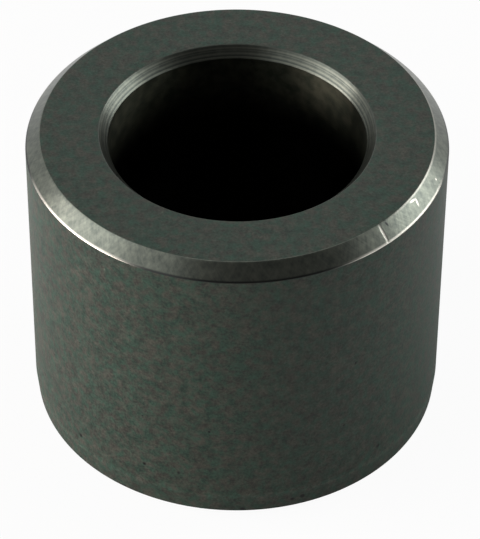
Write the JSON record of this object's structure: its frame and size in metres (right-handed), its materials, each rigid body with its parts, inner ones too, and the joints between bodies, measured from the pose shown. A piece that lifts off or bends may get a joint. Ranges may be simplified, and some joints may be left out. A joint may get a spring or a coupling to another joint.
{
  "type": "spacer sleeve",
  "caption": "Plain round steel spacer sleeve with a straight through bore, chamfered ends and a shallow lead-in at its lower end.",
  "frame": {"origin": "centre of the lower end face, on the bore axis", "axes": "+Z along the bore axis, from the lower end with the lead-in towards the upper end"},
  "size_m": [0.02, 0.02, 0.016],
  "materials": {
    "blackened_steel": "blackened, satin, worn bright at the chamfers"
  },
  "bodies": {
    "root": {"sleeve": "blackened_steel"}
  },
  "joints": []
}
